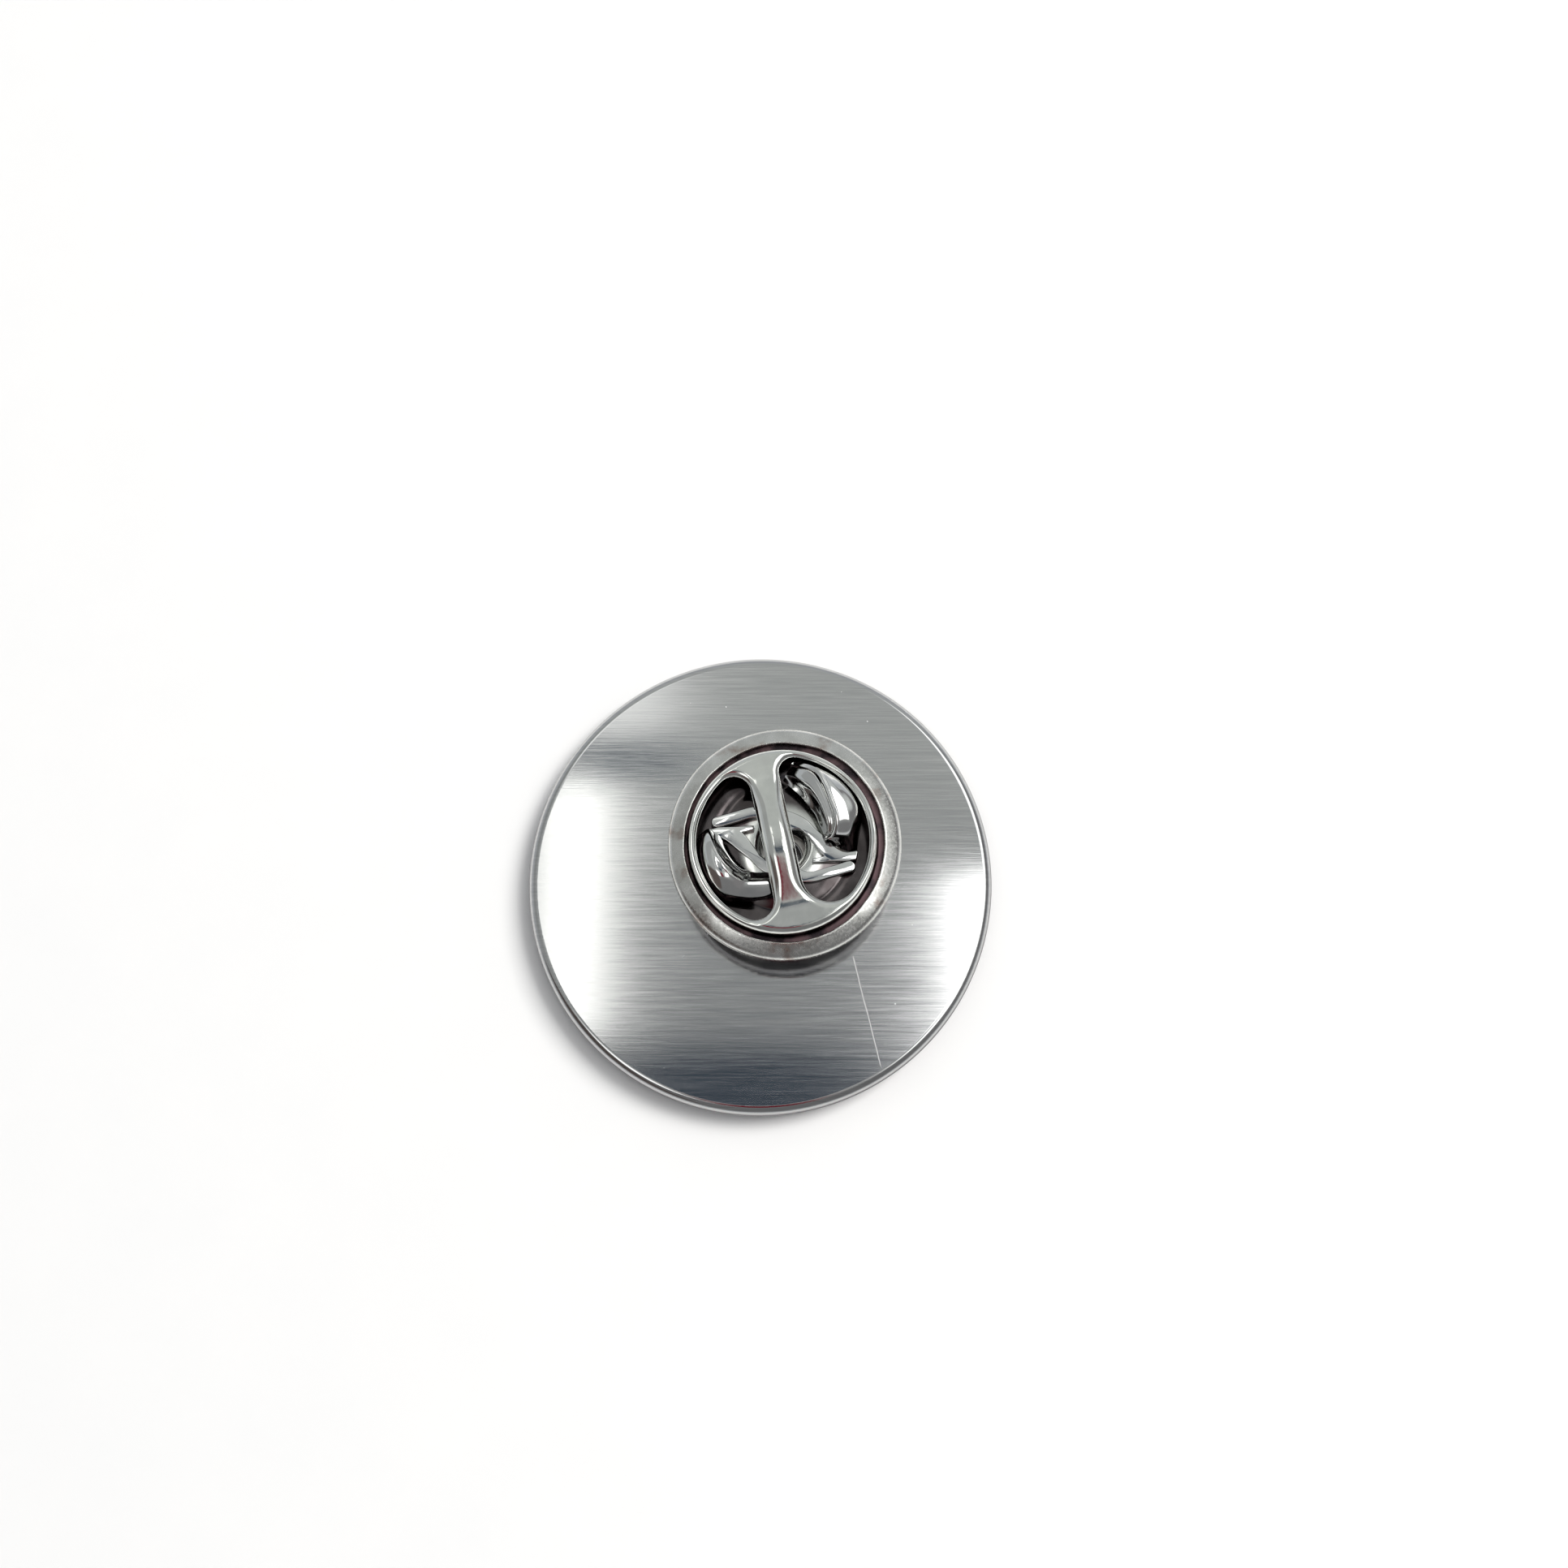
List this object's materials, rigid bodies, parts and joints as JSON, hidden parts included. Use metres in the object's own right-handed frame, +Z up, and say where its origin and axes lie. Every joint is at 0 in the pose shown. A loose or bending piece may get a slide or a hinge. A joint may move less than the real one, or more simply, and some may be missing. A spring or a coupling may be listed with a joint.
{
  "type": "enamel pin",
  "caption": "Round enamel pin with a brushed metal back, an offset post and a removable butterfly clutch with squeezable wings.",
  "frame": {"origin": "centre of the round plate, on the surface that the pin lies face down on", "axes": "+Z up, away from the enamelled front and along the post; +X along the brushing of the back; +Y to the side that the post and clutch are offset to"},
  "size_m": [0.025, 0.025, 0.0074],
  "materials": {
    "plate_metal": "satin brushed nickel plate, brushed along X on the back",
    "enamel_blue": "hard enamel, polished",
    "enamel_cream": "hard enamel, polished",
    "enamel_coral": "hard enamel, polished",
    "enamel_teal": "hard enamel, polished",
    "post_metal": "bright drawn wire, plated",
    "braze": "dull silver braze",
    "clutch_nickel": "bright nickel plate on stamped sheet",
    "spring_steel": "bright nickel plate on spring strip"
  },
  "bodies": {
    "badge": {"plate": "plate_metal", "enamel_ring": "enamel_blue", "enamel_hub": "enamel_cream", "enamel_petal_1": "enamel_coral", "enamel_petal_2": "enamel_coral", "enamel_petal_3": "enamel_coral", "enamel_petal_4": "enamel_coral", "enamel_petal_5": "enamel_coral", "enamel_petal_6": "enamel_coral", "enamel_petal_7": "enamel_coral", "enamel_petal_8": "enamel_coral", "enamel_gap_1": "enamel_teal", "enamel_gap_2": "enamel_teal", "enamel_gap_3": "enamel_teal", "enamel_gap_4": "enamel_teal", "enamel_gap_5": "enamel_teal", "enamel_gap_6": "enamel_teal", "enamel_gap_7": "enamel_teal", "enamel_gap_8": "enamel_teal", "post": "post_metal", "braze_fillet": "braze"},
    "cup": {"clutch_cup": "clutch_nickel"},
    "cap": {"clutch_cap": "clutch_nickel"},
    "upper_jaw": {"jaw_upper": "spring_steel"},
    "lower_jaw": {"jaw_lower": "spring_steel"},
    "left_wing": {"wing_left": "spring_steel"},
    "right_wing": {"wing_right": "spring_steel"}
  },
  "joints": [
    {"name": "clutch_slide", "type": "slide", "parent": "badge", "child": "cup", "axis": [0, 0, 1], "range_m": [-0.00015, 0.006]},
    {"name": "clutch_spin", "type": "hinge", "parent": "cup", "child": "cap", "pos_m": [0.0013, 0.001, 0.0058], "axis": [0, 0, 1], "continuous": true},
    {"name": "left_wing_squeeze", "type": "slide", "parent": "cap", "child": "left_wing", "axis": [0.9063, 0.4226, 0], "range_m": [0, 0.0004], "stiffness_N_per_m": 200},
    {"name": "right_wing_squeeze", "type": "slide", "parent": "cap", "child": "right_wing", "axis": [-0.9063, -0.4226, 0], "range_m": [0, 0.0004]},
    {"name": "upper_jaw_open", "type": "slide", "parent": "cap", "child": "upper_jaw", "axis": [-0.1045, 0.9945, 0], "range_m": [0, 0.0003]},
    {"name": "lower_jaw_open", "type": "slide", "parent": "cap", "child": "lower_jaw", "axis": [0.1045, -0.9945, 0], "range_m": [0, 0.0003]}
  ],
  "couplings": [
    {"joint": "right_wing_squeeze", "follows": "left_wing_squeeze", "ratio": 1},
    {"joint": "upper_jaw_open", "follows": "left_wing_squeeze", "ratio": 0.75},
    {"joint": "lower_jaw_open", "follows": "left_wing_squeeze", "ratio": 0.75}
  ]
}
